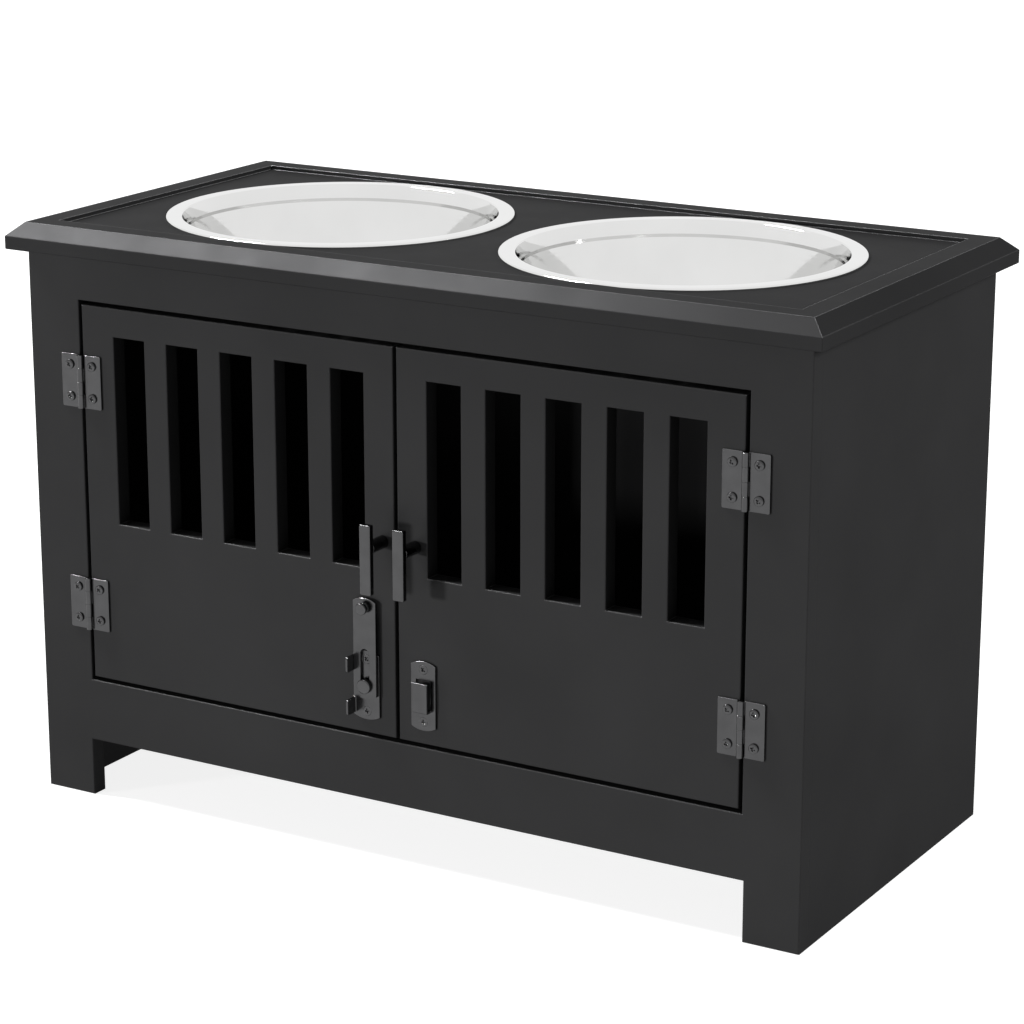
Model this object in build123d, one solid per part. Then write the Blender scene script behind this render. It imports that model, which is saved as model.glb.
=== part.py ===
"""Raised feeding cabinet: a storage box on low legs with a recessed top that carries two drop-in bowls.

Frame: X to the right, Y towards the back, Z up. The origin is on the floor, under the middle of the
whole object's box, which reaches from the front of the handles to the back edge of the top board.
All sizes are in millimetres.
"""
from build123d import *
import math
import os

# ------------------------------------------------------------------ driving sizes
# top board
board_width = 600.0
board_depth = 300.0
total_height = 400.0
fascia_height = 9.0
bevel_height = 9.0
bevel_run = 10.0
rim_flat = 15.6
recess_depth = 3.0
edge_round = 0.8

# carcass
side_overhang = 10.0
front_overhang = 11.4
back_overhang = 13.8
panel_thickness = 12.0
back_thickness = 9.0
leg_width = 39.0
leg_height = 40.7
stile_width = 40.75
bottom_rail_height = 43.8
top_rail_height = 31.1
stop_height = 6.0

# joinery inside the carcass
dowel_radius = 3.0
dowel_grip = 8.0
dowel_inset = 45.0
joinery_clearance = 0.1

# doors
door_thickness = 12.0
side_gap = 2.5
end_gap = 2.8
slot_count = 5
slot_width = 25.0
slot_hinge_margin = 25.7
slot_free_margin = 22.4
slot_top_margin = 19.6
slot_bottom_margin = 112.2

# hinges
leaf_height = 36.5
leaf_reach = 16.0
leaf_thickness = 1.2
leaf_corner = 1.0
knuckle_count = 4
knuckle_play = 0.15
knuckle_clearance = 0.4
pin_radius = 0.98
pin_running_clearance = 0.03
hinge_end_offset = 52.5
hinge_screw_column = 9.0
hinge_screw_rise = 11.0

# screws
screw_head_radius = 3.2
screw_head_height = 1.4
screw_dome_radius = 2.1
screw_shank_radius = 1.4
screw_length = 10.0
cross_length = 3.4
cross_width = 0.8
cross_depth = 0.7
hole_clearance = 0.1

# handles
handle_reach = 21.7
handle_width = 8.2
handle_bar_depth = 4.7
handle_length = 46.6
handle_round = 0.9
handle_post_radius = 4.3
post_below_top = 16.1
handle_above_latch = 8.6
handle_inset = {"left": 8.75, "right": 13.45}
handle_screw_radius = 1.9
handle_screw_head_radius = 4.0
handle_screw_head_height = 2.2
handle_screw_grip = 9.0

# latch
latch_above_door_end = 33.2
latch_sheet = 1.4
latch_end_rise = 2.4
latch_screw_rise = 17.8
latch_pin_x = -22.8
base_right = 9.6
base_height = 47.0
ear_side_play = 0.15
ear_bar_play = 0.95
ear_length = 10.3
ear_reach = 10.8
ear_corner = 1.6
bend_radius = 0.4
keeper_x = 20.5
keeper_width = 18.2
hook_width = 10.9
hook_play = 1.3
hook_seat_gap = 0.65
hook_above_bar = 1.25
window_above_bar = 2.6
bar_thickness = 1.8
bar_clearance = 0.3
bar_half_height = 8.55
bar_back = 9.0
bar_end_rise = 2.4
bar_past_knob = 6.4
bar_travel = 21.8
bar_slot_half_height = 3.4
latch_pin_shank_radius = 3.1
latch_pin_head_radius = 5.0
latch_pin_head_height = 2.5
latch_pin_tail = 1.2
latch_pin_tail_radius = 4.2
knob_collar_radius = 3.5
knob_beside_hook = 1.05
knob_collar_height = 1.0
knob_neck_radius = 2.4
knob_hook_play = 0.2
knob_head_radius = 4.0
knob_head_height = 2.0
knob_rivet_radius = 1.6
dome_share = 0.45

# bowls
bowl_recess_margin = 6.1
bowl_least_gap = 25.0
bowl_flange_width = 11.0
bowl_wall_draft = 2.3
bowl_step_drop = 9.3
bowl_step_size = 2.0
bowl_side_slope = 11.0
bowl_depth = 62.0
bowl_foot_round = 22.0
bowl_edge_round = 1.1
bowl_step_round = 0.7
bowl_lip = 2.0
bowl_sheet = 0.9
bowl_hole_clearance = 1.2

# ------------------------------------------------------------------ places worked out from the sizes
cabinet_width = board_width - 2 * side_overhang
cabinet_depth = board_depth - front_overhang - back_overhang
cabinet_top = total_height - fascia_height - bevel_height
recess_floor = total_height - recess_depth
front_y = (handle_reach + front_overhang - board_depth) / 2
board_front_y = front_y - front_overhang
board_centre_y = board_front_y + board_depth / 2
cabinet_back_y = front_y + cabinet_depth
inner_front_y = front_y + panel_thickness
inner_back_y = cabinet_back_y - back_thickness
inner_x = cabinet_width / 2 - panel_thickness

opening_x = cabinet_width / 2 - stile_width
opening_bottom = leg_height + bottom_rail_height
opening_top = cabinet_top - top_rail_height
floor_top = opening_bottom + stop_height
floor_bottom = floor_top - panel_thickness

door_inner_x = side_gap / 2
door_outer_x = opening_x - side_gap
door_bottom = opening_bottom + end_gap
door_top = opening_top - end_gap

slot_height = door_top - door_bottom - slot_top_margin - slot_bottom_margin
slot_first_x = door_outer_x - slot_hinge_margin - slot_width / 2
slot_last_x = door_inner_x + slot_free_margin + slot_width / 2
slot_pitch = (slot_first_x - slot_last_x) / (slot_count - 1)

knuckle_radius = pin_radius + pin_running_clearance + leaf_thickness
hinge_x = opening_x - side_gap / 2
hinge_y = front_y - knuckle_radius
hinge_heights = {"upper": door_top - hinge_end_offset, "lower": door_bottom + hinge_end_offset}

recess_width = board_width - 2 * (bevel_run + rim_flat)
recess_reach = board_depth - 2 * (bevel_run + rim_flat)
widest_bowl = (recess_width - 3 * bowl_least_gap) / 4
bowl_flange_radius = min(recess_reach / 2 - bowl_recess_margin, widest_bowl)
bowl_mouth_radius = bowl_flange_radius - bowl_flange_width
bowl_step_radius = bowl_mouth_radius - bowl_wall_draft
bowl_foot_radius = bowl_step_radius - bowl_step_size - bowl_side_slope
bowl_spacing = (recess_width - 4 * bowl_flange_radius) / 3
bowl_x = bowl_spacing / 2 + bowl_flange_radius
bowl_top = recess_floor + bowl_lip
bowl_hole_radius = bowl_mouth_radius + bowl_sheet + bowl_hole_clearance

latch_z = door_bottom + latch_above_door_end
knob_x = keeper_x + hook_width / 2 + knob_beside_hook + knob_collar_radius - latch_pin_x
bar_front = knob_x + bar_past_knob
bar_slot_back = -bar_slot_half_height - bar_clearance
bar_slot_front = bar_travel + bar_slot_half_height
base_left = bar_half_height + ear_side_play + latch_sheet
bar_back_y = front_y - latch_sheet - bar_clearance
bar_front_y = bar_back_y - bar_thickness
hook_back_y = bar_front_y - hook_play
hook_front_y = hook_back_y - latch_sheet
handle_bottom = latch_z + bar_front + handle_above_latch
handle_top = handle_bottom + handle_length
post_z = handle_top - post_below_top
SIDES = {"left": -1, "right": 1}


# ------------------------------------------------------------------ helpers
def block(x_span, y_span, z_span):
    """A box between two corners."""
    size = [high - low for low, high in (x_span, y_span, z_span)]
    centre = [(high + low) / 2 for low, high in (x_span, y_span, z_span)]
    return Pos(*centre) * Box(*size)


def rod(radius, start, end, x, z):
    """A cylinder along Y between two Y values."""
    return Pos(x, (start + end) / 2, z) * Rot(90, 0, 0) * Cylinder(radius, abs(end - start))


def front_board(outline, thickness):
    """A board cut from an outline drawn on the front plane, with its front edges eased."""
    sheet = extrude(Plane.XZ.offset(-front_y) * outline, amount=-thickness)
    front_face = sheet.faces().sort_by(Axis.Y)[0]
    return fillet(front_face.edges(), edge_round)


def rectangle_between(x_low, x_high, z_low, z_high):
    """A flat rectangle between two corners, for outlines on the front plane."""
    centre = Pos((x_low + x_high) / 2, (z_low + z_high) / 2)
    return centre * Rectangle(x_high - x_low, z_high - z_low)


def domed_disc(radius, height, back_y, x, z):
    """A flat-backed disc whose front edge is rounded, facing the front."""
    disc = rod(radius, back_y, back_y - height, x, z)
    return fillet(disc.edges().sort_by(Axis.Y)[0], height * dome_share)


# ------------------------------------------------------------------ carcass
def dowel_joints():
    """The doweled joints on the right: how each one's pegs are turned, and where they stand."""
    edge_x = cabinet_width / 2 - panel_thickness / 2
    depths = (inner_front_y + dowel_inset, inner_back_y - dowel_inset)
    frame_heights = (dowel_inset, cabinet_top / 2, cabinet_top - dowel_inset)
    back_heights = (floor_top + dowel_inset, cabinet_top - dowel_inset)
    floor_middle = (floor_top + floor_bottom) / 2
    back_middle = (inner_back_y + cabinet_back_y) / 2
    return {
        "top": (Rot(0, 0, 0), [(edge_x, y, cabinet_top) for y in depths]),
        "frame": (Rot(90, 0, 0), [(edge_x, inner_front_y, z) for z in frame_heights]),
        "floor": (Rot(0, 90, 0), [(inner_x, y, floor_middle) for y in depths]),
        "back": (Rot(0, 90, 0), [(inner_x, back_middle, z) for z in back_heights]),
    }


def dowel_rods(joint, growth=0.0):
    """The pegs of one joint on both sides, or their holes when they are grown by a clearance."""
    turn, places = dowel_joints()[joint]
    rod_shape = Cylinder(dowel_radius + growth, 2 * (dowel_grip + growth))
    return [Pos(side * x, y, z) * turn * rod_shape for side in SIDES.values() for x, y, z in places]


def without_dowel_holes(board, *joints):
    """The board with the blind holes of the joints that it takes part in."""
    for joint in joints:
        for hole in dowel_rods(joint, joinery_clearance):
            board -= hole
    return board


def top_board():
    """One board: square fascia, sloping bevel, flat rim, shallow recess and two bowl holes."""
    centre = Pos(0, board_centre_y, cabinet_top)
    fascia = centre * extrude(Rectangle(board_width, board_depth), amount=fascia_height)
    slope = math.degrees(math.atan2(bevel_run, bevel_height))
    bevel = extrude(Rectangle(board_width, board_depth), amount=bevel_height, taper=slope)
    board = fascia + centre * Pos(0, 0, fascia_height) * bevel
    outer_edges = board.edges().filter_by_position(Axis.Z, cabinet_top, cabinet_top + fascia_height)
    level_edges = [edge for edge in outer_edges if abs(edge.tangent_at(0.5).Z) < edge_round]
    board = fillet(level_edges, edge_round)
    recess = extrude(Rectangle(recess_width, recess_reach), amount=-recess_depth)
    board -= Pos(0, board_centre_y, total_height) * recess
    for side in SIDES.values():
        board -= Pos(side * bowl_x, board_centre_y, recess_floor) * Cylinder(bowl_hole_radius, board_depth)
    return without_dowel_holes(board, "top")


def side_panel(side):
    """A side board that stands on the floor behind the front frame."""
    outer = side * cabinet_width / 2
    inner = side * inner_x
    panel = block(sorted((outer, inner)), (inner_front_y, cabinet_back_y), (0, cabinet_top))
    return without_dowel_holes(panel, *dowel_joints())


def back_panel():
    """The back, set in between the side panels and level with their back edges."""
    panel = block((-inner_x, inner_x), (inner_back_y, cabinet_back_y), (leg_height, cabinet_top))
    return without_dowel_holes(panel, "back")


def floor_panel():
    """The storage floor, which stands a little above the bottom rail and stops the doors."""
    panel = block((-inner_x, inner_x), (inner_front_y, inner_back_y), (floor_bottom, floor_top))
    return without_dowel_holes(panel, "floor")


def front_frame():
    """The face frame: stiles that run down as legs, a top rail and a bottom rail, cut from one board."""
    outline = rectangle_between(-cabinet_width / 2, cabinet_width / 2, 0, cabinet_top)
    outline -= rectangle_between(-opening_x, opening_x, opening_bottom, opening_top)
    leg_x = cabinet_width / 2 - leg_width
    outline -= rectangle_between(-leg_x, leg_x, 0, leg_height)
    frame = front_board(outline, panel_thickness)
    for side in SIDES.values():
        for x, z in hinge_screw_places(side, side):
            frame -= pilot_hole(x, z)
    return without_dowel_holes(frame, "frame")


# ------------------------------------------------------------------ screws
def pilot_hole(x, z, depth=screw_length):
    """The hole that a wood screw of the hinges or the latch goes into."""
    return rod(screw_shank_radius + hole_clearance, front_y, front_y + depth + hole_clearance, x, z)


def cross_recess(front, x, z):
    """The cross that the screwdriver turns."""
    depth = (front, front + cross_depth)
    half_length = cross_length / 2
    half_width = cross_width / 2
    upright = block((x - half_width, x + half_width), depth, (z - half_length, z + half_length))
    level = block((x - half_length, x + half_length), depth, (z - half_width, z + half_width))
    return upright + level


def pan_screw(seat_y, x, z):
    """A screw with a raised head that sits on the face at seat_y."""
    front = seat_y - screw_head_height
    head = Plane.XZ.offset(-seat_y) * Pos(x, z) * Circle(screw_head_radius)
    crown = Plane.XZ.offset(-front) * Pos(x, z) * Circle(screw_dome_radius)
    screw = loft([head, crown]) + rod(screw_shank_radius, seat_y, front_y + screw_length, x, z)
    return screw - cross_recess(front, x, z)


def countersunk_head(face_y, radius_growth, x, z):
    """The cone of a countersunk head, as deep as the latch sheet."""
    wide = Plane.XZ.offset(-face_y) * Pos(x, z) * Circle(screw_head_radius + radius_growth)
    narrow = Plane.XZ.offset(-face_y - latch_sheet) * Pos(x, z) * Circle(screw_shank_radius + radius_growth)
    return loft([wide, narrow])


def flat_screw(x, z):
    """A countersunk screw whose head ends level with the latch plate's face."""
    face_y = front_y - latch_sheet
    screw = countersunk_head(face_y, 0, x, z) + rod(screw_shank_radius, front_y, front_y + screw_length, x, z)
    return screw - cross_recess(face_y, x, z)


# ------------------------------------------------------------------ hinges
def hinge_screw_places(side, towards):
    """Screw centres of both hinges on one side, on the leaf that points towards -1 or +1."""
    for height in hinge_heights.values():
        for rise in (-hinge_screw_rise, hinge_screw_rise):
            yield side * hinge_x + towards * hinge_screw_column, height + rise


def knuckle_span(index, height):
    """The height that one knuckle takes, counted from the top, with its end play."""
    pitch = leaf_height / knuckle_count
    top = height + leaf_height / 2 - index * pitch
    return top - pitch + knuckle_play / 2, top - knuckle_play / 2


def hinge_leaf(side, height, towards, first_knuckle):
    """A butt hinge leaf: a flat plate curled round the pin at every other knuckle."""
    x = side * hinge_x
    inner = x + towards * (knuckle_radius + knuckle_clearance)
    outer = x + towards * leaf_reach
    span = (height - leaf_height / 2, height + leaf_height / 2)
    leaf = block(sorted((inner, outer)), (front_y - leaf_thickness, front_y), span)
    corners = leaf.edges().filter_by(Axis.Y).group_by(Axis.X)[-1 if towards > 0 else 0]
    leaf = fillet(corners, leaf_corner)
    for index in range(first_knuckle, knuckle_count, 2):
        low, high = knuckle_span(index, height)
        curl = Pos(x, hinge_y, (low + high) / 2) * Cylinder(knuckle_radius, high - low)
        leaf += curl + block(sorted((x, inner)), (front_y - leaf_thickness, front_y), (low, high))
    leaf -= Pos(x, hinge_y, height) * Cylinder(pin_radius + pin_running_clearance, 2 * leaf_height)
    for screw_x, screw_z in hinge_screw_places(side, towards):
        if abs(screw_z - height) < leaf_height / 2:
            leaf -= rod(screw_shank_radius + hole_clearance, front_y - 2 * leaf_thickness, front_y, screw_x, screw_z)
    return leaf


def hinge_pin(side, height):
    """The pin through all four knuckles, a close fit and flush with their ends."""
    return Pos(side * hinge_x, hinge_y, height) * Cylinder(pin_radius, leaf_height)


def hinge_screws(side, towards):
    """The four screws that hold one side's two leaves to the frame or to the door."""
    seat = front_y - leaf_thickness
    return [pan_screw(seat, x, z) for x, z in hinge_screw_places(side, towards)]


# ------------------------------------------------------------------ doors
def handle_x(side_name):
    """The handle's centre line, measured from the door's free edge."""
    return SIDES[side_name] * (door_inner_x + handle_inset[side_name])


def slot_outlines(side):
    """The row of upright slots, spaced from the hinge side towards the free edge."""
    z = door_top - slot_top_margin - slot_height / 2
    for index in range(slot_count):
        x = side * (slot_first_x - index * slot_pitch)
        yield Pos(x, z) * Rectangle(slot_width, slot_height)


def door(side_name):
    """A flush door with five slots, and the holes for its hinge, handle and latch screws."""
    side = SIDES[side_name]
    x_low, x_high = sorted((side * door_inner_x, side * door_outer_x))
    outline = rectangle_between(x_low, x_high, door_bottom, door_top)
    for slot in slot_outlines(side):
        outline -= slot
    board = front_board(outline, door_thickness)
    for x, z in hinge_screw_places(side, -side):
        board -= pilot_hole(x, z)
    through = (front_y, front_y + door_thickness)
    board -= rod(handle_screw_radius + hole_clearance, *through, handle_x(side_name), post_z)
    plate_x = latch_pin_x if side_name == "left" else keeper_x
    for x, z in latch_screw_places(plate_x):
        board -= pilot_hole(x, z)
    if side_name == "left":
        room = latch_pin_tail + bar_clearance
        board -= rod(latch_pin_tail_radius + bar_clearance, front_y, front_y + room, latch_pin_x, latch_z)
    return board


# ------------------------------------------------------------------ handles
def handle_bar(side_name):
    """The upright grip bar, with softened edges."""
    x = handle_x(side_name)
    half = handle_width / 2
    depth = (front_y - handle_reach, front_y - handle_reach + handle_bar_depth)
    bar = block((x - half, x + half), depth, (handle_bottom, handle_top))
    return fillet(bar.edges(), handle_round)


def handle_post(side_name):
    """The round post between the bar and the door, tapped for its screw."""
    x = handle_x(side_name)
    post = rod(handle_post_radius, front_y - handle_reach + handle_bar_depth, front_y, x, post_z)
    tapped = rod(handle_screw_radius + hole_clearance, front_y - handle_screw_grip - hole_clearance, front_y, x, post_z)
    return post - tapped


def handle_screw(side_name):
    """The machine screw from inside the door into the post."""
    x = handle_x(side_name)
    back = front_y + door_thickness
    shank = rod(handle_screw_radius, front_y - handle_screw_grip, back, x, post_z)
    head = rod(handle_screw_head_radius, back, back + handle_screw_head_height, x, post_z)
    head = fillet(head.edges().sort_by(Axis.Y)[-1], handle_screw_head_height * dome_share)
    return shank + head


# ------------------------------------------------------------------ latch
def latch_screw_places(x):
    """The two screws of a latch plate, above and below its middle."""
    for rise in (-latch_screw_rise, latch_screw_rise):
        yield x, latch_z + rise


def arc_ended(low, high, half_width, rise):
    """A strip along the first axis, from low to high, with a shallow arc across each end."""
    near_side = Line((low + rise, -half_width), (high - rise, -half_width))
    high_end = ThreePointArc((high - rise, -half_width), (high, 0), (high - rise, half_width))
    far_side = Line((high - rise, half_width), (low + rise, half_width))
    low_end = ThreePointArc((low + rise, half_width), (low, 0), (low + rise, -half_width))
    return make_face([near_side, high_end, far_side, low_end])


def latch_plate(x_low, x_high, screw_x):
    """The flat, countersunk sheet that a latch plate starts from."""
    outline = arc_ended(-base_height / 2, base_height / 2, (x_high - x_low) / 2, latch_end_rise)
    placed = Pos((x_low + x_high) / 2, latch_z) * Rot(0, 0, 90) * outline
    sheet = extrude(Plane.XZ.offset(-front_y) * placed, amount=latch_sheet)
    for x, z in latch_screw_places(screw_x):
        sheet -= countersunk_head(front_y - latch_sheet, hole_clearance, x, z)
    return sheet


def latch_ear(left, direction):
    """One ear bent forward from the plate's edge, with its free corners rounded."""
    start = bar_half_height + ear_bar_play
    span = sorted((latch_z + direction * start, latch_z + direction * (start + ear_length)))
    ear = block((left, left + latch_sheet), (front_y - ear_reach, front_y), span)
    free_corners = ear.edges().filter_by(Axis.X).group_by(Axis.Y)[0]
    return fillet(free_corners, ear_corner)


def latch_base():
    """The pivot plate, with two ears bent forward that guide the bar and keep it parked upright."""
    left = latch_pin_x - base_left
    plate = latch_plate(left, latch_pin_x + base_right, latch_pin_x)
    for direction in (-1, 1):
        plate += latch_ear(left, direction)
    upright_edges = plate.edges().filter_by(Axis.Z)
    beside_ears = upright_edges.filter_by_position(Axis.X, left + latch_sheet / 2, left + 2 * latch_sheet)
    inner_bends = beside_ears.filter_by_position(Axis.Y, front_y - 2 * latch_sheet, front_y - latch_sheet / 2)
    plate = fillet(inner_bends, bend_radius)
    bore_radius = latch_pin_shank_radius + pin_running_clearance
    return plate - rod(bore_radius, front_y - ear_reach, front_y, latch_pin_x, latch_z)


def latch_keeper():
    """The catch plate, with a tongue bent out of its own window into a hook open at the top."""
    half = keeper_width / 2
    plate = latch_plate(keeper_x - half, keeper_x + half, keeper_x)
    x_span = (keeper_x - hook_width / 2, keeper_x + hook_width / 2)
    plate_front = front_y - latch_sheet
    seat = latch_z - bar_half_height - hook_seat_gap
    tip = latch_z + bar_half_height + hook_above_bar
    window = block(x_span, (plate_front, front_y), (seat, latch_z + bar_half_height + window_above_bar))
    foot = block(x_span, (hook_front_y, plate_front), (seat - latch_sheet, seat))
    tongue = block(x_span, (hook_front_y, hook_back_y), (seat - latch_sheet, tip))
    hook = foot + tongue
    outer_bend = hook.edges().filter_by(Axis.X).group_by(Axis.Z)[0].sort_by(Axis.Y)[0]
    hook = fillet(outer_bend, latch_sheet)
    return plate - window + hook


def latch_pin():
    """The headed rivet that the bar turns on and slides along."""
    shank_front = bar_front_y - bar_clearance
    tail_end = front_y + latch_pin_tail
    pin = rod(latch_pin_shank_radius, shank_front, tail_end, latch_pin_x, latch_z)
    pin += domed_disc(latch_pin_head_radius, latch_pin_head_height, shank_front, latch_pin_x, latch_z)
    return pin + rod(latch_pin_tail_radius, front_y, tail_end, latch_pin_x, latch_z)


def upright(shape):
    """Turns a latch piece drawn along +X from the pin so that it stands upright on the pin."""
    return Pos(latch_pin_x, 0, latch_z) * Rot(0, -90, 0) * shape


def latch_bar():
    """The flat bar with its long slot, standing upright on the pin."""
    outline = arc_ended(-bar_back, bar_front, bar_half_height, bar_end_rise)
    slot = SlotOverall(bar_slot_front - bar_slot_back, 2 * bar_slot_half_height)
    outline -= Pos((bar_slot_front + bar_slot_back) / 2, 0) * slot
    outline -= Pos(knob_x, 0) * Circle(knob_rivet_radius)
    return upright(extrude(Plane.XZ.offset(-bar_back_y) * outline, amount=bar_thickness))


def latch_knob():
    """The turned finger knob riveted to the bar's free end."""
    neck_start = bar_front_y - knob_collar_height
    head_start = hook_front_y - knob_hook_play
    knob = rod(knob_rivet_radius, bar_back_y, bar_front_y, knob_x, 0)
    knob += rod(knob_collar_radius, bar_front_y, neck_start, knob_x, 0)
    knob += rod(knob_neck_radius, neck_start, head_start, knob_x, 0)
    knob += domed_disc(knob_head_radius, knob_head_height, head_start, knob_x, 0)
    return upright(knob)


# ------------------------------------------------------------------ bowls
def bowl(side):
    """A pressed steel bowl: turned-down lip, flat flange, stacking step, sloping wall and round foot."""
    step_foot = bowl_step_drop + bowl_step_size
    surface = FilletPolyline(
        (bowl_flange_radius, -bowl_lip),
        (bowl_flange_radius, 0),
        (bowl_mouth_radius, 0),
        (bowl_step_radius, -bowl_step_drop),
        (bowl_step_radius - bowl_step_size, -step_foot),
        (bowl_foot_radius, -bowl_depth),
        (0, -bowl_depth),
        radius=[bowl_edge_round, bowl_edge_round, bowl_step_round, bowl_step_round, bowl_foot_round],
    )
    skin = make_face(offset(surface, amount=bowl_sheet, side=Side.LEFT))
    shell = revolve(Plane.XZ * skin, axis=Axis.Z)
    return Pos(side * bowl_x, board_centre_y, bowl_top) * shell


# ------------------------------------------------------------------ nodes
def nodes():
    """Every sub-part by name."""
    parts = {
        "top_board": top_board(),
        "back_panel": back_panel(),
        "floor_panel": floor_panel(),
        "front_frame": front_frame(),
    }
    for joint in dowel_joints():
        parts[f"{joint}_dowels"] = Compound(children=dowel_rods(joint))
    frame_screws = []
    for name, side in SIDES.items():
        parts[f"{name}_side_panel"] = side_panel(side)
        parts[f"{name}_door"] = door(name)
        parts[f"{name}_door_hinge_screws"] = Compound(children=hinge_screws(side, -side))
        frame_screws += hinge_screws(side, side)
        for level, height in hinge_heights.items():
            parts[f"{name}_{level}_hinge_frame_leaf"] = hinge_leaf(side, height, side, 0)
            parts[f"{name}_{level}_hinge_door_leaf"] = hinge_leaf(side, height, -side, 1)
            parts[f"{name}_{level}_hinge_pin"] = hinge_pin(side, height)
        parts[f"{name}_handle_bar"] = handle_bar(name)
        parts[f"{name}_handle_post"] = handle_post(name)
        parts[f"{name}_handle_screw"] = handle_screw(name)
        parts[f"{name}_bowl"] = bowl(side)
    parts["frame_hinge_screws"] = Compound(children=frame_screws)
    for name, x in (("latch_base", latch_pin_x), ("latch_keeper", keeper_x)):
        screws = [flat_screw(screw_x, z) for screw_x, z in latch_screw_places(x)]
        parts[f"{name}_screws"] = Compound(children=screws)
    parts["latch_base"] = latch_base()
    parts["latch_keeper"] = latch_keeper()
    parts["latch_pin"] = latch_pin()
    parts["latch_bar"] = latch_bar()
    parts["latch_knob"] = latch_knob()
    return parts


os.makedirs("parts", exist_ok=True)
for node, shape in nodes().items():
    export_step(shape, f"parts/{node}.step")
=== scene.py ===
"""Raised feeding cabinet: finishes, screws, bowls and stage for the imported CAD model."""
import math

import bmesh
import bpy
from mathutils import Matrix, Vector


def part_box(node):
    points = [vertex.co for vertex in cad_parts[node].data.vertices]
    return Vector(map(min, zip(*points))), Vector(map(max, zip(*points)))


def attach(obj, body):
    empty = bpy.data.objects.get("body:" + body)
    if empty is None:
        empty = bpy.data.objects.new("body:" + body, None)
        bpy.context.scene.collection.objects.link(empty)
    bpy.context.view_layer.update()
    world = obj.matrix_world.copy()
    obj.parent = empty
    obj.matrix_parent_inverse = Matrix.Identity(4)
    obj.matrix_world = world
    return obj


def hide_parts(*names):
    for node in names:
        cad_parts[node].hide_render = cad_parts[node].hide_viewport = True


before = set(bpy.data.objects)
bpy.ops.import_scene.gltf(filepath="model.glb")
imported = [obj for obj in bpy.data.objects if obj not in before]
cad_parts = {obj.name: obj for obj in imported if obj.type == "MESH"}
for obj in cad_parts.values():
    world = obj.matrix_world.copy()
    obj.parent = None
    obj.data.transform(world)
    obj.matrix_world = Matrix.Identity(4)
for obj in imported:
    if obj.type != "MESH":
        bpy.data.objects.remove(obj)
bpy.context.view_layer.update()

bl_info = {
    "name": "Raised Feeding Cabinet",
    "version": (1, 0, 0),
    "blender": (4, 5, 0),
    "location": "View3D > Sidebar > Feeder",
    "description": "Lacquer, hardware, screws, bowls and stage for a raised feeding cabinet",
    "category": "Object",
}

MM = 0.001
BOARDS = {
    "top_board": "top",
    "front_frame": "carcass",
    "left_side_panel": "carcass",
    "right_side_panel": "carcass",
    "back_panel": "inside",
    "floor_panel": "inside",
    "left_door": "door",
    "right_door": "door",
}
SCREW_GROUPS = {
    "frame_hinge_screws": "cabinet",
    "left_door_hinge_screws": "left_door",
    "right_door_hinge_screws": "right_door",
    "latch_base_screws": "left_door",
    "latch_keeper_screws": "right_door",
}


# ---------------------------------------------------------------- settings
class LacquerSettings(bpy.types.PropertyGroup):
    """Colour and surface of the lacquered boards."""

    # The top board's lacquer is set darker than the carcass's though it is the same lacquer: painted shade
    # that offsets the stronger light falling on the top.
    top: bpy.props.FloatVectorProperty(
        name="Top board", description="Lacquer colour of the top board",
        subtype="COLOR", size=3, min=0, max=1, default=(0.0235, 0.0235, 0.024))
    carcass: bpy.props.FloatVectorProperty(
        name="Carcass", description="Lacquer colour of the frame and side panels",
        subtype="COLOR", size=3, min=0, max=1, default=(0.027, 0.027, 0.0275))
    door: bpy.props.FloatVectorProperty(
        name="Doors", description="Lacquer colour of the doors",
        subtype="COLOR", size=3, min=0, max=1, default=(0.027, 0.027, 0.0275))
    # The floor and back panel's lacquer is set darker than the carcass's though it is the same lacquer:
    # painted shade for the cabinet's inside.
    inside: bpy.props.FloatVectorProperty(
        name="Inside", description="Lacquer colour of the floor and back panel",
        subtype="COLOR", size=3, min=0, max=1, default=(0.023, 0.023, 0.0235))
    roughness: bpy.props.FloatProperty(
        name="Roughness", description="Satin level of the lacquer",
        subtype="FACTOR", min=0, max=1, default=0.33)
    peel: bpy.props.FloatProperty(
        name="Orange peel", description="Size of the sprayed lacquer's fine ripples",
        subtype="DISTANCE", unit="LENGTH", min=0, default=1.6 * MM)


class MetalSettings(bpy.types.PropertyGroup):
    """Colours of the hardware and the bowls."""

    hinge: bpy.props.FloatVectorProperty(
        name="Hinges", description="Coating of the hinges and their screws",
        subtype="COLOR", size=3, min=0, max=1, default=(0.066, 0.066, 0.0675))
    handle: bpy.props.FloatVectorProperty(
        name="Handles", description="Coating of the handles",
        subtype="COLOR", size=3, min=0, max=1, default=(0.066, 0.066, 0.0675))
    latch: bpy.props.FloatVectorProperty(
        name="Latch", description="Coating of the latch and its screws",
        subtype="COLOR", size=3, min=0, max=1, default=(0.066, 0.066, 0.0675))
    bowl: bpy.props.FloatVectorProperty(
        name="Bowls", description="Stainless steel of the bowls",
        subtype="COLOR", size=3, min=0, max=1, default=(0.76, 0.76, 0.755))
    bowl_roughness: bpy.props.FloatProperty(
        name="Bowl roughness", description="Satin level of the bowls",
        subtype="FACTOR", min=0, max=1, default=0.06)


class ScrewSettings(bpy.types.PropertyGroup):
    """Sizes of the visible screw heads."""

    head: bpy.props.FloatProperty(
        name="Head diameter", description="Diameter of a screw head",
        subtype="DISTANCE", unit="LENGTH", min=0, default=6.4 * MM)
    height: bpy.props.FloatProperty(
        name="Head height", description="Height of a raised head above the leaf",
        subtype="DISTANCE", unit="LENGTH", min=0, default=1.5 * MM)
    seat: bpy.props.FloatProperty(
        name="Seat depth", description="How far the leaf lies behind the front of the plain head",
        subtype="DISTANCE", unit="LENGTH", min=0, default=1.4 * MM)
    cross: bpy.props.FloatProperty(
        name="Cross length", description="Length of the driver's cross",
        subtype="DISTANCE", unit="LENGTH", min=0, default=3.8 * MM)


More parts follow.
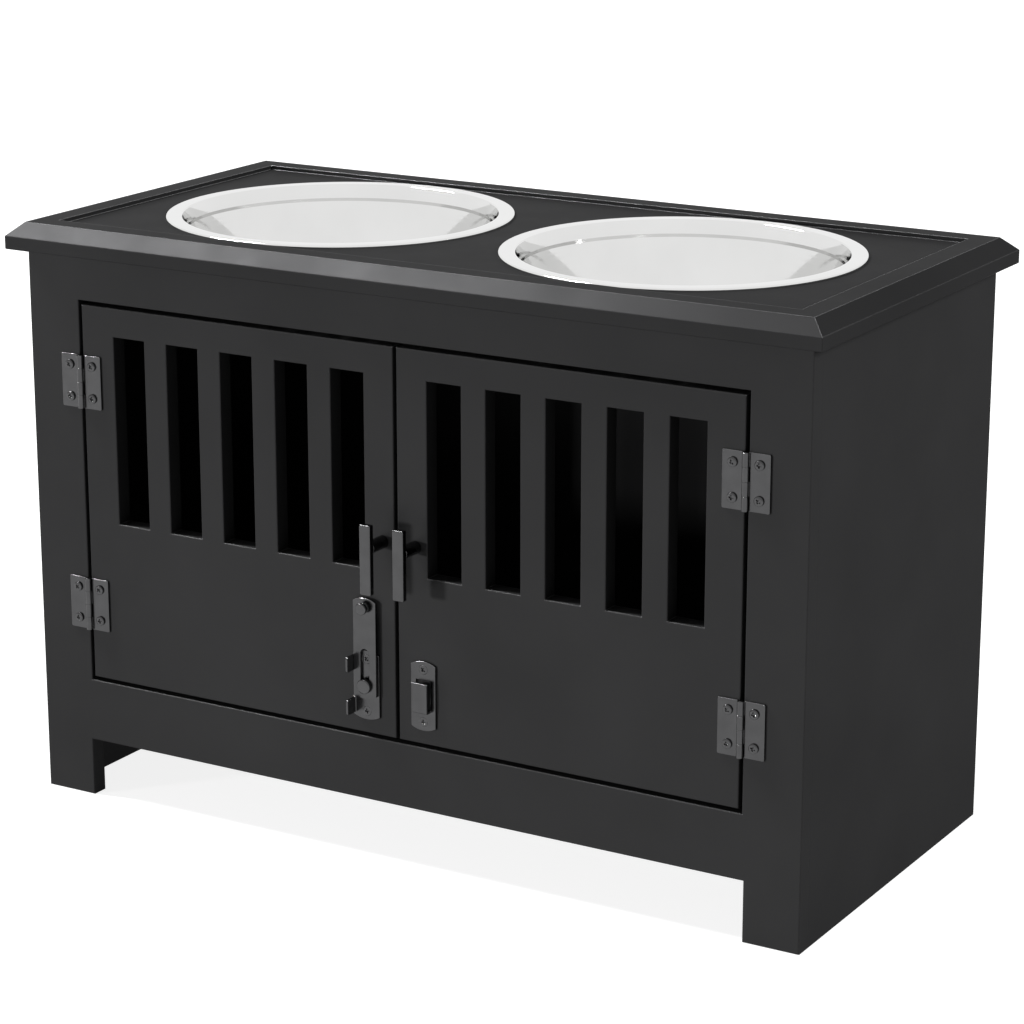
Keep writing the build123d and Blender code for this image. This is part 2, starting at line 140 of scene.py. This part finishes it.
class BowlSettings(bpy.types.PropertyGroup):
    """Sizes of a pressed bowl; its outer radius and top come from the CAD bowl."""

    flange: bpy.props.FloatProperty(
        name="Flange", description="Width of the flat flange",
        subtype="DISTANCE", unit="LENGTH", min=0, default=11 * MM)
    lip: bpy.props.FloatProperty(
        name="Lip", description="Height of the turned-down lip",
        subtype="DISTANCE", unit="LENGTH", min=0, default=2 * MM)
    draft: bpy.props.FloatProperty(
        name="Draft", description="How far the upper wall leans in",
        subtype="DISTANCE", unit="LENGTH", min=0, default=2.3 * MM)
    upper: bpy.props.FloatProperty(
        name="Upper wall", description="Height of the upper wall",
        subtype="DISTANCE", unit="LENGTH", min=0, default=9.3 * MM)
    step: bpy.props.FloatProperty(
        name="Step", description="Height of the upright stacking step",
        subtype="DISTANCE", unit="LENGTH", min=0, default=2.2 * MM)
    slope: bpy.props.FloatProperty(
        name="Slope", description="How far the lower wall leans in",
        subtype="DISTANCE", unit="LENGTH", min=0, default=13 * MM)
    depth: bpy.props.FloatProperty(
        name="Depth", description="Depth of the bowl",
        subtype="DISTANCE", unit="LENGTH", min=0, default=62 * MM)
    foot: bpy.props.FloatProperty(
        name="Foot", description="Rounding of the foot",
        subtype="DISTANCE", unit="LENGTH", min=0, default=22 * MM)
    sheet: bpy.props.FloatProperty(
        name="Sheet", description="Thickness of the steel",
        subtype="DISTANCE", unit="LENGTH", min=0, default=0.9 * MM)


class StageSettings(bpy.types.PropertyGroup):
    """Floor, light and camera."""

    floor: bpy.props.FloatVectorProperty(
        name="Floor", description="Colour of the floor",
        subtype="COLOR", size=3, min=0, max=1, default=(0.35, 0.35, 0.35))
    focal: bpy.props.FloatProperty(
        name="Focal length", description="Lens of the camera in millimetres",
        min=10, default=112.43)
    place: bpy.props.FloatVectorProperty(
        name="Camera place", description="Where the camera stands",
        subtype="TRANSLATION", unit="LENGTH", size=3, default=(1.0596, -1.7804, 0.7992))
    turn: bpy.props.FloatProperty(
        name="Camera turn", description="Turn of the camera about the upright axis",
        subtype="ANGLE", default=math.radians(30.589))
    tilt: bpy.props.FloatProperty(
        name="Camera tilt", description="How far the camera looks down",
        subtype="ANGLE", default=math.radians(15.936))


SETTINGS = {
    "lacquer": LacquerSettings,
    "metal": MetalSettings,
    "screws": ScrewSettings,
    "bowls": BowlSettings,
    "stage": StageSettings,
}


def settings(group):
    """One group of this add-on's settings."""
    return getattr(bpy.context.scene, f"feeder_{group}")


# ---------------------------------------------------------------- material building
USUAL_NOISE = (0.25, 0.75)  # most of a noise lies between these


def start_material(name):
    """A new material with only its shader and output, its tree and its shader's node."""
    material = bpy.data.materials.new(name)
    material.use_nodes = True
    return material, material.node_tree, material.node_tree.nodes["Principled BSDF"]


def add_node(tree, kind, values=(), **options):
    """A node with its options set and the given sockets filled or linked."""
    node = tree.nodes.new(kind)
    for key, value in options.items():
        setattr(node, key, value)
    for socket, value in dict(values).items():
        if isinstance(value, bpy.types.NodeSocket):
            tree.links.new(value, node.inputs[socket])
        else:
            node.inputs[socket].default_value = value
    return node


def object_place(tree, stretch=(1, 1, 1), offset=(0, 0, 0)):
    """Coordinates in the object's own space, shifted and stretched."""
    place = add_node(tree, "ShaderNodeTexCoord").outputs["Object"]
    values = {"Vector": place, "Location": offset, "Scale": stretch}
    return add_node(tree, "ShaderNodeMapping", values).outputs[0]


def noise(tree, place, size, detail):
    """Noise whose blobs are about the given size in metres."""
    values = {"Vector": place, "Scale": 1 / size, "Detail": detail}
    return add_node(tree, "ShaderNodeTexNoise", values).outputs["Fac"]


def remapped(tree, factor, start, end, low=0.0, high=1.0):
    """The factor's stretch from start to end spread from low to high."""
    values = {"Value": factor, "From Min": start, "From Max": end, "To Min": low, "To Max": high}
    return add_node(tree, "ShaderNodeMapRange", values).outputs["Result"]


def uneven(tree, factor, level, below, above):
    """A level that a noise varies, from a little below it to a little above."""
    return remapped(tree, factor, *USUAL_NOISE, low=level - below, high=level + above)


def two_tones(tree, factor, first, second):
    """A colour between two, by a noise."""
    ramp = add_node(tree, "ShaderNodeValToRGB", {"Fac": factor})
    for stop, place, colour in zip(ramp.color_ramp.elements, USUAL_NOISE, (first, second)):
        stop.position = place
        stop.color = (*colour, 1)
    return ramp.outputs["Color"]


def mottled(tree, factor, colour, darkest, lightest):
    """A colour that a noise makes a little darker or lighter."""
    return two_tones(tree, factor, scaled(colour, darkest), scaled(colour, lightest))


def bumped(tree, height, depth, strength, below=None):
    """A bump of the given depth in metres, laid over another one if there is one."""
    values = {"Height": height, "Distance": depth, "Strength": strength}
    if below is not None:
        values["Normal"] = below
    return add_node(tree, "ShaderNodeBump", values).outputs["Normal"]


def soft_edges(tree, radius):
    """The surface's direction with its sharp edges eased by a small radius, as a coat of paint eases them."""
    return add_node(tree, "ShaderNodeBevel", {"Radius": radius}, samples=4).outputs["Normal"]


def painted_edge_highlight(tree, eased, gain):
    """A painted highlight for a base colour: one on flat faces, and up to 1 + gain on the eased edges that
    look upwards, where light would catch them.
    """
    face = add_node(tree, "ShaderNodeNewGeometry").outputs["Normal"]
    match = add_node(tree, "ShaderNodeVectorMath", {0: eased, 1: face}, operation="DOT_PRODUCT")
    turned = remapped(tree, match.outputs["Value"], start=0.995, end=0.9, high=gain)
    height = add_node(tree, "ShaderNodeSeparateXYZ", {"Vector": eased}).outputs["Z"]
    upward = remapped(tree, height, start=0.0, end=0.4)
    highlight_scale = add_node(tree, "ShaderNodeMath", {0: turned, 1: upward, 2: 1.0}, operation="MULTIPLY_ADD")
    return highlight_scale.outputs["Value"]


def brighter(tree, colour, factor):
    """A colour socket multiplied by a number socket."""
    values = {0: colour, "Scale": factor}
    return add_node(tree, "ShaderNodeVectorMath", values, operation="SCALE").outputs["Vector"]


def scaled(colour, factor):
    """A colour made lighter or darker."""
    return tuple(min(1.0, channel * factor) for channel in colour)


def assign(node_names, material):
    """Gives CAD nodes one material."""
    for name in node_names:
        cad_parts[name].data.materials.clear()
        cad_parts[name].data.materials.append(material)


# ---------------------------------------------------------------- materials
def lacquer(name, colour, roughness, peel):
    """Sprayed satin lacquer on board: faint cloudiness, fine ripples, a slightly uneven sheen, and a painted
    highlight that lightens the eased edges facing upwards.
    """
    material, tree, shader = start_material(name)
    place = object_place(tree)
    clouds = noise(tree, place, size=90 * MM, detail=4)
    eased = soft_edges(tree, 0.7 * MM)
    tones = mottled(tree, clouds, colour, darkest=0.93, lightest=1.08)
    # Painted highlight: the base colour is lightened up to tenfold on eased edges that face upwards.
    tree.links.new(brighter(tree, tones, painted_edge_highlight(tree, eased, gain=9.0)), shader.inputs["Base Color"])
    sheen = noise(tree, place, size=30 * MM, detail=5)
    tree.links.new(uneven(tree, sheen, roughness, below=0.03, above=0.04), shader.inputs["Roughness"])
    ripples = bumped(tree, noise(tree, place, peel, detail=2), depth=0.01 * MM, strength=0.5, below=eased)
    sanding = noise(tree, object_place(tree, stretch=(1, 1, 6)), size=20 * MM, detail=3)
    sanded = bumped(tree, sanding, depth=0.03 * MM, strength=0.3, below=ripples)
    tree.links.new(sanded, shader.inputs["Normal"])
    shader.inputs["Specular IOR Level"].default_value = 0.0
    shader.inputs["Metallic"].default_value = 0.3
    shader.inputs["Specular Tint"].default_value = (0.45, 0.45, 0.45, 1)
    return material


def coated_metal(name, colour, roughness, speckle=0.6 * MM):
    """Steel with a thin dark metallic coating: fine speckle, a softly uneven sheen, and a painted highlight
    that lightens the eased edges facing upwards.
    """
    material, tree, shader = start_material(name)
    place = object_place(tree)
    patches = noise(tree, place, size=8 * MM, detail=4)
    eased = soft_edges(tree, 0.4 * MM)
    tones = mottled(tree, patches, colour, darkest=0.92, lightest=1.08)
    # Painted highlight: the base colour is lightened up to three and a half times on eased edges that face
    # upwards.
    tree.links.new(brighter(tree, tones, painted_edge_highlight(tree, eased, gain=2.5)), shader.inputs["Base Color"])
    sheen = noise(tree, place, size=4 * MM, detail=4)
    tree.links.new(uneven(tree, sheen, roughness, below=0.03, above=0.04), shader.inputs["Roughness"])
    grains = bumped(tree, noise(tree, place, speckle, detail=2), depth=0.005 * MM, strength=0.35, below=eased)
    tree.links.new(grains, shader.inputs["Normal"])
    shader.inputs["Metallic"].default_value = 1.0
    return material


def spun_steel(name, colour, roughness, centre):
    """Stainless steel polished on a lathe: rings about the bowl's middle."""
    material, tree, shader = start_material(name)
    place = object_place(tree, offset=(-centre.x, -centre.y, 0))
    parts = add_node(tree, "ShaderNodeSeparateXYZ", {"Vector": place})
    flat = add_node(tree, "ShaderNodeCombineXYZ", {"X": parts.outputs["X"], "Y": parts.outputs["Y"]})
    radius = add_node(tree, "ShaderNodeVectorMath", {0: flat.outputs[0]}, operation="LENGTH").outputs["Value"]
    rings_per_metre = 1400
    values = {"W": radius, "Scale": rings_per_metre, "Detail": 4}
    rings = add_node(tree, "ShaderNodeTexNoise", values, noise_dimensions="1D").outputs["Fac"]
    clouds = noise(tree, place, size=50 * MM, detail=3)
    tones = mottled(tree, clouds, colour, darkest=0.97, lightest=1.03)
    tree.links.new(tones, shader.inputs["Base Color"])
    tree.links.new(uneven(tree, rings, roughness, below=0.04, above=0.05), shader.inputs["Roughness"])
    tree.links.new(bumped(tree, rings, depth=0.004 * MM, strength=0.35), shader.inputs["Normal"])
    shader.inputs["Metallic"].default_value = 1.0
    return material


def beech(name):
    """Pale dowel wood with grain along each peg."""
    material, tree, shader = start_material(name)
    grain = noise(tree, object_place(tree, stretch=(1, 1, 0.15)), size=1.2 * MM, detail=4)
    dark, pale = (0.5, 0.33, 0.19), (0.68, 0.5, 0.32)
    tree.links.new(two_tones(tree, grain, dark, pale), shader.inputs["Base Color"])
    tree.links.new(uneven(tree, grain, 0.6, below=0.05, above=0.1), shader.inputs["Roughness"])
    tree.links.new(bumped(tree, grain, depth=0.05 * MM, strength=0.4), shader.inputs["Normal"])
    return material


# ---------------------------------------------------------------- mesh making
def revolve_profile(profile, sides):
    """A closed turned shape from (radius, height) points, standing on Z."""
    shape = bmesh.new()
    rings = []
    for radius, height in profile:
        if radius == 0:
            rings.append([shape.verts.new((0, 0, height))])
            continue
        turns = (2 * math.pi * step / sides for step in range(sides))
        rings.append([shape.verts.new((radius * math.cos(a), radius * math.sin(a), height)) for a in turns])
    for lower, upper in zip(rings, rings[1:]):
        for step in range(sides):
            after = (step + 1) % sides
            if len(lower) == 1:
                shape.faces.new((lower[0], upper[after], upper[step]))
            elif len(upper) == 1:
                shape.faces.new((lower[step], lower[after], upper[0]))
            else:
                shape.faces.new((lower[step], lower[after], upper[after], upper[step]))
    bmesh.ops.recalc_face_normals(shape, faces=shape.faces)
    return shape


def mesh_object(name, shape):
    """An object in the scene made from a bmesh."""
    mesh = bpy.data.meshes.new(name)
    shape.to_mesh(mesh)
    shape.free()
    made = bpy.data.objects.new(name, mesh)
    bpy.context.collection.objects.link(made)
    return made


def apply_modifiers(made):
    """Makes an object's modifiers part of its mesh."""
    graph = bpy.context.evaluated_depsgraph_get()
    mesh = bpy.data.meshes.new_from_object(made.evaluated_get(graph))
    made.modifiers.clear()
    made.data = mesh


def smooth_by_angle(made, degrees):
    """Smooth shading except across edges sharper than an angle."""
    mesh = made.data
    mesh.shade_smooth()
    mesh.set_sharp_from_angle(angle=math.radians(degrees))


def drop_slivers(mesh):
    """Splits a cut mesh's many-sided faces evenly and removes the faces without area that a cut can leave."""
    nearest = 0.002 * MM
    shape = bmesh.new()
    shape.from_mesh(mesh)
    bmesh.ops.remove_doubles(shape, verts=shape.verts, dist=nearest)
    bmesh.ops.triangulate(shape, faces=shape.faces, quad_method="BEAUTY", ngon_method="BEAUTY")
    bmesh.ops.dissolve_degenerate(shape, edges=shape.edges, dist=nearest)
    shape.to_mesh(mesh)
    shape.free()


# ---------------------------------------------------------------- screw making
SHANK_RADIUS = 1.35 * MM
SCREW_LENGTH = 12 * MM
SHANK_END = 11 * MM
SUNK_DEPTH = 1.4 * MM


def sunk_outline(radius):
    """Half section of a countersunk screw whose flat top is at zero."""
    edge = radius * 0.97
    return [(0, SUNK_DEPTH - SCREW_LENGTH), (SHANK_RADIUS, -SHANK_END), (SHANK_RADIUS, -SUNK_DEPTH),
            (edge, -0.05 * MM), (edge, 0), (0, 0)]


def raised_outline(radius, height, top):
    """Half section of a pan head screw whose seat is at zero: an upright wall, then a low crown."""
    wall, crown, steps = 0.6, 0.5, 7
    head = []
    for step in range(steps + 1):
        angle = math.pi / 2 * step / steps
        reach = 1 - crown + crown * math.cos(angle)
        rise = wall + (1 - wall) * math.sin(angle)
        head.append((radius * reach, height * rise))
    return [(0, -SCREW_LENGTH), (SHANK_RADIUS, -SHANK_END), (SHANK_RADIUS, 0), (radius, 0), *head, (0, top)]


def cross_cutter(length, width, top, bottom):
    """A tapering cross that cuts the driver recess."""
    cutter = bmesh.new()
    rings = []
    for height, share in ((bottom, 0.6), (top, 1.0)):
        reach = length / 2 * share
        half = width / 2 * (0.6 + 0.4 * share)
        ring = []
        for quarter in range(4):
            turn = Matrix.Rotation(math.pi / 2 * quarter, 3, "Z")
            ring += [cutter.verts.new(turn @ Vector((x, y, height)))
                     for x, y in ((reach, -half), (reach, half), (half, half))]
        rings.append(ring)
    lower, upper = rings
    cutter.faces.new(lower)
    cutter.faces.new(upper)
    for step in range(len(lower)):
        after = (step + 1) % len(lower)
        cutter.faces.new((lower[step], lower[after], upper[after], upper[step]))
    bmesh.ops.recalc_face_normals(cutter, faces=cutter.faces)
    return cutter


def screw_mesh(name, outline, top, cross):
    """One screw on Z, turned from its half section, with the driver's cross cut into its top."""
    made = mesh_object(name, revolve_profile(outline, sides=40))
    recess = cross_cutter(cross, width=1.15 * MM, top=top + 0.5 * MM, bottom=top - 1.3 * MM)
    cutter = mesh_object(f"{name}_cutter", recess)
    cut = made.modifiers.new("driver recess", "BOOLEAN")
    cut.object = cutter
    cut.operation = "DIFFERENCE"
    cut.solver = "EXACT"
    apply_modifiers(made)
    mesh = made.data
    bpy.data.objects.remove(cutter)
    bpy.data.objects.remove(made)
    drop_slivers(mesh)
    return mesh


def head_places(node):
    """The middle of each head's front in a CAD group of screws, found from its separate screws."""
    shape = bmesh.new()
    shape.from_mesh(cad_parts[node].data)
    bmesh.ops.remove_doubles(shape, verts=shape.verts, dist=0.001 * MM)
    places = []
    left = set(shape.verts)
    while left:
        screw, edge = set(), [left.pop()]
        while edge:
            vert = edge.pop()
            screw.add(vert)
            near = {e.other_vert(vert) for e in vert.link_edges} - screw
            left -= near
            edge += near
        xs = [v.co.x for v in screw]
        zs = [v.co.z for v in screw]
        places.append(((min(xs) + max(xs)) / 2, min(v.co.y for v in screw), (min(zs) + max(zs)) / 2))
    shape.free()
    return sorted(places)


def screw_turn(index):
    """A different turn for each screw, so that no two crosses line up."""
    return Matrix.Rotation(math.radians(37 * index + 12), 4, "Z")


# ---------------------------------------------------------------- bowl making
def rounded_path(corners, steps):
    """A line through (radius, height, rounding) corners, with an arc at each rounded one."""
    points = [Vector(corners[0][:2])]
    for before, corner, after in zip(corners, corners[1:], corners[2:]):
        spot = Vector(corner[:2])
        back = (Vector(before[:2]) - spot).normalized()
        ahead = (Vector(after[:2]) - spot).normalized()
        half = back.angle(ahead) / 2
        middle = spot + (back + ahead).normalized() * corner[2] / math.sin(half)
        first = (spot + back * corner[2] / math.tan(half) - middle).normalized()
        last = (spot + ahead * corner[2] / math.tan(half) - middle).normalized()
        for step in range(steps + 1):
            points.append(middle + first.slerp(last, step / steps).normalized() * corner[2])
    points.append(Vector(corners[-1][:2]))
    return points


def offset_path(points, amount):
    """The same line moved sideways to its left."""
    moved = []
    for index, spot in enumerate(points):
        before = points[max(index - 1, 0)]
        after = points[min(index + 1, len(points) - 1)]
        run = (after - before).normalized()
        moved.append(spot + Vector((-run.y, run.x)) * amount)
    return moved


def bowl_profile(values, radius):
    """The closed section of a bowl, from the middle of its inside to the middle of its underside."""
    mouth = radius - values.flange
    wall = mouth - values.draft
    rim_bend = 1.1 * MM
    step_bend = 0.4 * MM
    corners = [
        (radius, -values.lip, 0),
        (radius, 0, rim_bend),
        (mouth, 0, rim_bend),
        (wall, -values.upper, step_bend),
        (wall, -values.upper - values.step, step_bend),
        (wall - values.slope, -values.depth, values.foot),
        (0, -values.depth, 0),
    ]
    inside = rounded_path(corners, steps=8)
    outside = offset_path(inside, values.sheet)
    inside[-1].x = outside[-1].x = 0
    return [tuple(spot) for spot in (*reversed(inside), *outside)]


# ---------------------------------------------------------------- stage making
def seen_ray(tree):
    """One for rays from the camera, in reflections and through glass, otherwise zero."""
    ray = add_node(tree, "ShaderNodeLightPath").outputs
    direct = {0: ray["Is Camera Ray"], 1: ray["Is Glossy Ray"]}
    seen = add_node(tree, "ShaderNodeMath", direct, operation="MAXIMUM")
    through = {0: seen.outputs[0], 1: ray["Is Transmission Ray"]}
    return add_node(tree, "ShaderNodeMath", through, operation="MAXIMUM").outputs[0]


def floor_material(colour):
    """Pale matt floor with a hint of mottling, which the camera sees nearly white apart from the shadow; the
    glow it shows the camera is weaker near the object, a painted darkening of the floor round it that deepens
    the real shadow.
    """
    material, tree, shader = start_material("studio_floor")
    mottling = noise(tree, object_place(tree), size=0.25, detail=3)
    tree.links.new(mottled(tree, mottling, colour, darkest=0.99, lightest=1.0), shader.inputs["Base Color"])
    shader.inputs["Roughness"].default_value = 0.9
    shader.inputs["Specular IOR Level"].default_value = 0.0
    place = add_node(tree, "ShaderNodeTexCoord").outputs["Object"]
    reach = add_node(tree, "ShaderNodeVectorMath", {0: place}, operation="LENGTH").outputs["Value"]
    # Painted shade: the glow is 0.86 within 0.4 m of the object and rises to full at 1.6 m, darkening the
    # floor round the object so its real shadow shows.
    level = remapped(tree, reach, start=0.4, end=1.6, low=0.86, high=1.0)
    glow = add_node(tree, "ShaderNodeMath", {0: seen_ray(tree), 1: level}, operation="MULTIPLY").outputs[0]
    tree.links.new(glow, shader.inputs["Emission Strength"])
    shader.inputs["Emission Color"].default_value = (1, 1, 1, 1)
    return material


def make_floor(colour):
    """A wide floor just under the object."""
    half, height = 12.0, -0.2 * MM
    shape = bmesh.new()
    corners = [shape.verts.new((x * half, y * half, height)) for x, y in ((-1, -1), (1, -1), (1, 1), (-1, 1))]
    shape.faces.new(corners)
    floor = mesh_object("studio_floor", shape)
    floor.data.materials.append(floor_material(colour))


def make_lamp(name, place, aim, size, power, mirrored=False):
    """One soft rectangular lamp that faces a point; only a mirrored one shows in reflections."""
    data = bpy.data.lights.new(name, "AREA")
    data.shape = "RECTANGLE"
    data.size, data.size_y = size
    data.energy = power
    lamp = bpy.data.objects.new(name, data)
    lamp.location = place
    lamp.rotation_euler = (Vector(aim) - Vector(place)).to_track_quat("-Z", "Y").to_euler()
    lamp.visible_glossy = mirrored
    bpy.context.collection.objects.link(lamp)


def make_lamps():
    """A key from the left, a narrow lamp above that picks out the edges, and a fill from the right."""
    centre = (0, 0, 0.25)
    front_edge = (0, -0.14, 0.39)
    make_lamp("key_lamp", place=(-6.2, -7.4, 0.7), aim=centre, size=(0.9, 0.9), power=1030)
    make_lamp("edge_lamp", place=(-2.15, -0.5, 2.9), aim=front_edge, size=(0.25, 1.5), power=180,
              mirrored=True)
    make_lamp("side_lamp", place=(4.2, 0.9, 2.6), aim=centre, size=(1.6, 1.6), power=225)


def make_surroundings(scene):
    """An even pale room that lights the object, and looks white to the camera and in reflections."""
    world = bpy.data.worlds.new("studio_room")
    world.use_nodes = True
    scene.world = world
    tree = world.node_tree
    backdrop = tree.nodes["Background"]
    level = remapped(tree, seen_ray(tree), start=0.0, end=1.0, low=0.14, high=1.0)
    tree.links.new(level, backdrop.inputs["Strength"])
    backdrop.inputs["Color"].default_value = (1, 1, 1, 1)


def make_camera(scene, values):
    """The camera that shows the front and the right side from a little above."""
    data = bpy.data.cameras.new("view_camera")
    data.lens = values.focal
    data.sensor_width = 36
    camera = bpy.data.objects.new("view_camera", data)
    camera.location = values.place
    camera.rotation_euler = (math.pi / 2 - values.tilt, 0, values.turn)
    bpy.context.collection.objects.link(camera)
    scene.camera = camera


# ---------------------------------------------------------------- operators
SATIN_COAT = 0.22
PIN_COAT = 0.2
TURNED_COAT = 0.18
SCREW_COAT = 0.1


class FEEDER_OT_finish_boards(bpy.types.Operator):
    """Lacquers the top board, the frame, the panels and the doors"""

    bl_idname = "feeder.finish_boards"
    bl_label = "Lacquer Boards"

    def execute(self, context):
        values = settings("lacquer")
        # Each group of boards gets its own copy of the one lacquer; the top and inside copies are darker as
        # painted shade.
        for part in ("top", "carcass", "door", "inside"):
            material = lacquer(f"{part}_lacquer", tuple(getattr(values, part)), values.roughness, values.peel)
            assign([node for node, group in BOARDS.items() if group == part], material)
        return {"FINISHED"}


class FEEDER_OT_finish_dowels(bpy.types.Operator):
    """Gives the hidden dowels their wood"""

    bl_idname = "feeder.finish_dowels"
    bl_label = "Dowel Wood"

    def execute(self, context):
        assign([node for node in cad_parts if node.endswith("_dowels")], beech("dowel_beech"))
        return {"FINISHED"}


class FEEDER_OT_finish_hinges(bpy.types.Operator):
    """Coats the hinge leaves and pins"""

    bl_idname = "feeder.finish_hinges"
    bl_label = "Coat Hinges"

    def execute(self, context):
        colour = tuple(settings("metal").hinge)
        leaves = [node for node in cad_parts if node.endswith("_leaf")]
        pins = [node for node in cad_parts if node.endswith("_hinge_pin")]
        assign(leaves, coated_metal("hinge_coat", colour, SATIN_COAT))
        assign(pins, coated_metal("hinge_pin_coat", scaled(colour, 0.8), PIN_COAT))
        return {"FINISHED"}


class FEEDER_OT_finish_handles(bpy.types.Operator):
    """Coats the handle bars and posts, and gives their screws pale zinc"""

    bl_idname = "feeder.finish_handles"
    bl_label = "Coat Handles"

    def execute(self, context):
        colour = tuple(settings("metal").handle)
        bars = [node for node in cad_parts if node.endswith(("_handle_bar", "_handle_post"))]
        screws = [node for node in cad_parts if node.endswith("_handle_screw")]
        assign(bars, coated_metal("handle_coat", colour, SATIN_COAT))
        assign(screws, coated_metal("handle_screw_zinc", scaled(colour, 4), roughness=0.25))
        return {"FINISHED"}


class FEEDER_OT_finish_latch(bpy.types.Operator):
    """Coats the latch plates, bar, pin and knob"""

    bl_idname = "feeder.finish_latch"
    bl_label = "Coat Latch"

    def execute(self, context):
        colour = tuple(settings("metal").latch)
        flat = coated_metal("latch_coat", colour, SATIN_COAT)
        turned = coated_metal("latch_turned_coat", scaled(colour, 1.05), TURNED_COAT)
        assign(["latch_base", "latch_keeper", "latch_bar"], flat)
        assign(["latch_pin", "latch_knob"], turned)
        return {"FINISHED"}


class FEEDER_OT_make_screws(bpy.types.Operator):
    """Makes the hinge and latch screws with domed or sunk heads and driver crosses"""

    bl_idname = "feeder.make_screws"
    bl_label = "Make Screws"

    def execute(self, context):
        values = settings("screws")
        metal = settings("metal")
        radius = values.head / 2
        crown = values.height * 1.04
        hinge_coat = coated_metal("hinge_screw_coat", tuple(metal.hinge), SCREW_COAT, speckle=0.4 * MM)
        latch_coat = coated_metal("latch_screw_coat", tuple(metal.latch), SCREW_COAT, speckle=0.4 * MM)
        raised_shape = raised_outline(radius, values.height, crown)
        raised = screw_mesh("raised_screw", raised_shape, crown, values.cross)
        sunk = screw_mesh("sunk_screw", sunk_outline(radius), 0.0, values.cross)
        for group, body in SCREW_GROUPS.items():
            is_sunk = group.startswith("latch")
            joined = bmesh.new()
            for index, (x, front, z) in enumerate(head_places(group)):
                seat = front if is_sunk else front + values.seat
                facing = Matrix.Translation((x, seat, z)) @ Matrix.Rotation(math.pi / 2, 4, "X")
                one = (sunk if is_sunk else raised).copy()
                one.transform(facing @ screw_turn(index))
                joined.from_mesh(one)
                bpy.data.meshes.remove(one)
            made = mesh_object(f"{group}_detail", joined)
            made.data.materials.append(latch_coat if is_sunk else hinge_coat)
            smooth_by_angle(made, 35)
            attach(made, body)
            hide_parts(group)
        return {"FINISHED"}


class FEEDER_OT_make_bowls(bpy.types.Operator):
    """Makes both pressed steel bowls with their flange, stacking step and round foot"""

    bl_idname = "feeder.make_bowls"
    bl_label = "Make Bowls"

    def execute(self, context):
        metal = settings("metal")
        for node in ("left_bowl", "right_bowl"):
            low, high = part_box(node)
            middle = (Vector(low) + Vector(high)) / 2
            radius = (high[0] - low[0]) / 2
            shape = revolve_profile(bowl_profile(settings("bowls"), radius), sides=160)
            bmesh.ops.translate(shape, verts=shape.verts, vec=(middle.x, middle.y, high[2]))
            made = mesh_object(f"{node}_pressed", shape)
            smooth_by_angle(made, 40)
            steel = spun_steel(f"{node}_steel", tuple(metal.bowl), metal.bowl_roughness, middle)
            made.data.materials.append(steel)
            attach(made, node)
            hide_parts(node)
        return {"FINISHED"}


class FEEDER_OT_make_stage(bpy.types.Operator):
    """Makes the floor, the lamps, the surroundings and the camera"""

    bl_idname = "feeder.make_stage"
    bl_label = "Make Stage"

    def execute(self, context):
        values = settings("stage")
        make_floor(tuple(values.floor))
        make_lamps()
        make_surroundings(context.scene)
        make_camera(context.scene, values)
        context.scene.view_settings.view_transform = "Standard"
        return {"FINISHED"}


# ---------------------------------------------------------------- panel and registration
STEPS = (
    FEEDER_OT_finish_boards,
    FEEDER_OT_finish_dowels,
    FEEDER_OT_finish_hinges,
    FEEDER_OT_finish_handles,
    FEEDER_OT_finish_latch,
    FEEDER_OT_make_screws,
    FEEDER_OT_make_bowls,
    FEEDER_OT_make_stage,
)


class FEEDER_PT_steps(bpy.types.Panel):
    """Lists the settings and the steps"""

    bl_idname = "FEEDER_PT_steps"
    bl_label = "Feeding Cabinet"
    bl_space_type = "VIEW_3D"
    bl_region_type = "UI"
    bl_category = "Feeder"

    def draw(self, context):
        for group, kind in SETTINGS.items():
            box = self.layout.box()
            box.label(text=group.capitalize())
            for name in kind.__annotations__:
                box.prop(getattr(context.scene, f"feeder_{group}"), name)
        for step in STEPS:
            self.layout.operator(step.bl_idname)


def register():
    for kind in (*SETTINGS.values(), *STEPS, FEEDER_PT_steps):
        bpy.utils.register_class(kind)
    for group, kind in SETTINGS.items():
        setattr(bpy.types.Scene, f"feeder_{group}", bpy.props.PointerProperty(type=kind))


def unregister():
    for group in SETTINGS:
        delattr(bpy.types.Scene, f"feeder_{group}")
    for kind in reversed((*SETTINGS.values(), *STEPS, FEEDER_PT_steps)):
        bpy.utils.unregister_class(kind)


def main():
    register()
    bpy.ops.feeder.finish_boards()
    bpy.ops.feeder.finish_dowels()
    bpy.ops.feeder.finish_hinges()
    bpy.ops.feeder.finish_handles()
    bpy.ops.feeder.finish_latch()
    bpy.ops.feeder.make_screws()
    bpy.ops.feeder.make_bowls()
    bpy.ops.feeder.make_stage()


if __name__ == "__main__":
    main()
